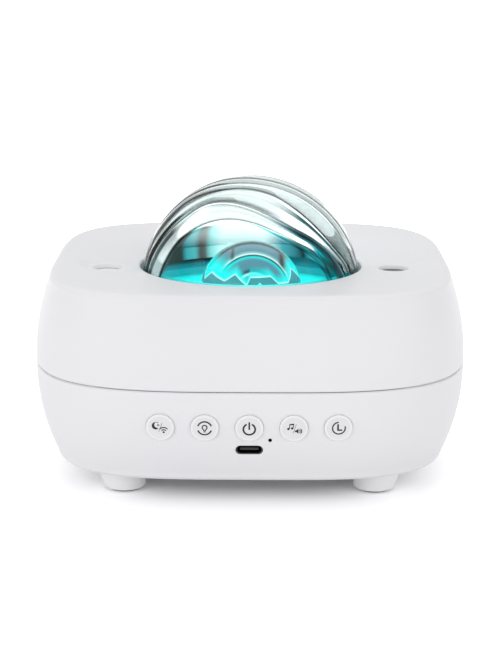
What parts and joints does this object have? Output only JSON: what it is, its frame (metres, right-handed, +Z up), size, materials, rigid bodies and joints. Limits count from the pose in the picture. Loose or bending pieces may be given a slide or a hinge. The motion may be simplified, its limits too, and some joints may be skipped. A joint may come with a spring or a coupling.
{
  "type": "star projector",
  "caption": "Table-top light projector: a rounded-square white case on feet with a rippled clear dome on top.",
  "frame": {"origin": "middle of the footprint, on the table that the foot pads stand on", "axes": "+Z up through the dome, -Y the front with the buttons, +X to the right seen from the front"},
  "size_m": [0.152, 0.1524, 0.1027],
  "materials": {
    "shell": "white ABS, smooth satin gloss",
    "button_cap": "white ABS, smooth satin gloss, with a dark printed sign",
    "clear_dome": "clear acrylic, polished, with rippled grooves",
    "inner_dome": "clear acrylic, polished, with finer ripples",
    "dark_window": "smoked acrylic, polished",
    "reflector": "bright moulded reflector",
    "dark_plastic": "black moulded plastic, fine texture",
    "gear_nylon": "natural nylon",
    "steel": "plated steel",
    "aluminium": "cast, matt",
    "board_green": "circuit board, green solder mask",
    "board_white": "aluminium-backed board, white solder mask",
    "emitter": "clear silicone lens, lit cyan",
    "ferrite": "dark magnet and pressed steel",
    "paper": "black pressed paper",
    "foam": "closed-cell foam",
    "pad_rubber": "soft grey-white rubber",
    "socket_metal": "dark plated steel",
    "lead": "white wire insulation"
  },
  "bodies": {
    "case": {"upper_shell": "shell", "lower_shell": "shell", "dome_lens": "clear_dome", "dome_clamp_ring": "dark_plastic", "clamp_screw_right": "steel", "clamp_screw_left": "steel", "clamp_screw_front": "steel", "optics_deck": "dark_plastic", "reflector_bowl": "reflector", "heat_sink": "aluminium", "led_board": "board_white", "led_emitter": "emitter", "motor_body": "steel", "main_board": "board_green", "board_screw_left": "steel", "board_screw_right": "steel", "control_board": "board_green", "usb_socket_shell": "socket_metal", "usb_tongue": "dark_plastic", "microphone": "aluminium", "speaker_gasket": "foam", "speaker_basket": "ferrite", "speaker_magnet": "ferrite", "speaker_cone": "paper", "foot_front_left": "shell", "foot_pad_front_left": "pad_rubber", "case_screw_front_left": "steel", "foot_front_right": "shell", "foot_pad_front_right": "pad_rubber", "case_screw_front_right": "steel", "foot_rear_left": "shell", "foot_pad_rear_left": "pad_rubber", "case_screw_rear_left": "steel", "foot_rear_right": "shell", "foot_pad_rear_right": "pad_rubber", "case_screw_rear_right": "steel", "laser_barrel_left": "dark_plastic", "laser_window_left": "dark_window", "laser_cable_left": "lead", "laser_barrel_right": "dark_plastic", "laser_window_right": "dark_window", "laser_cable_right": "lead", "speaker_cable": "lead", "led_cable": "lead", "motor_cable": "lead", "control_ribbon": "lead"},
    "ripple_rotor": {"rotor_gear": "gear_nylon", "inner_dome": "inner_dome"},
    "motor_shaft": {"motor_pinion": "gear_nylon"},
    "wireless_key": {"wireless_button": "button_cap", "wireless_switch_plunger": "dark_plastic"},
    "colour_key": {"colour_button": "button_cap", "colour_switch_plunger": "dark_plastic"},
    "power_key": {"power_button": "button_cap", "power_switch_plunger": "dark_plastic"},
    "sound_key": {"sound_button": "button_cap", "sound_switch_plunger": "dark_plastic"},
    "timer_key": {"timer_button": "button_cap", "timer_switch_plunger": "dark_plastic"}
  },
  "joints": [
    {"name": "ripple_spin", "type": "hinge", "parent": "case", "child": "ripple_rotor", "pos_m": [0, 0, 0.0518], "axis": [0, 0, 1], "continuous": true},
    {"name": "motor_spin", "type": "hinge", "parent": "case", "child": "motor_shaft", "pos_m": [0, 0.03625, 0.0518], "axis": [0, 0, 1], "continuous": true},
    {"name": "wireless_press", "type": "slide", "parent": "case", "child": "wireless_key", "axis": [0, 1, 0], "range_m": [0, 0.0005], "stiffness_N_per_m": 2000, "springref_m": -0.0003},
    {"name": "colour_press", "type": "slide", "parent": "case", "child": "colour_key", "axis": [0, 1, 0], "range_m": [0, 0.0005], "stiffness_N_per_m": 2000, "springref_m": -0.0003},
    {"name": "power_press", "type": "slide", "parent": "case", "child": "power_key", "axis": [0, 1, 0], "range_m": [0, 0.0005], "stiffness_N_per_m": 2000, "springref_m": -0.0003},
    {"name": "sound_press", "type": "slide", "parent": "case", "child": "sound_key", "axis": [0, 1, 0], "range_m": [0, 0.0005], "stiffness_N_per_m": 2000, "springref_m": -0.0003},
    {"name": "timer_press", "type": "slide", "parent": "case", "child": "timer_key", "axis": [0, 1, 0], "range_m": [0, 0.0005], "stiffness_N_per_m": 2000, "springref_m": -0.0003}
  ],
  "couplings": [
    {"joint": "motor_spin", "follows": "ripple_spin", "ratio": -4.8}
  ]
}
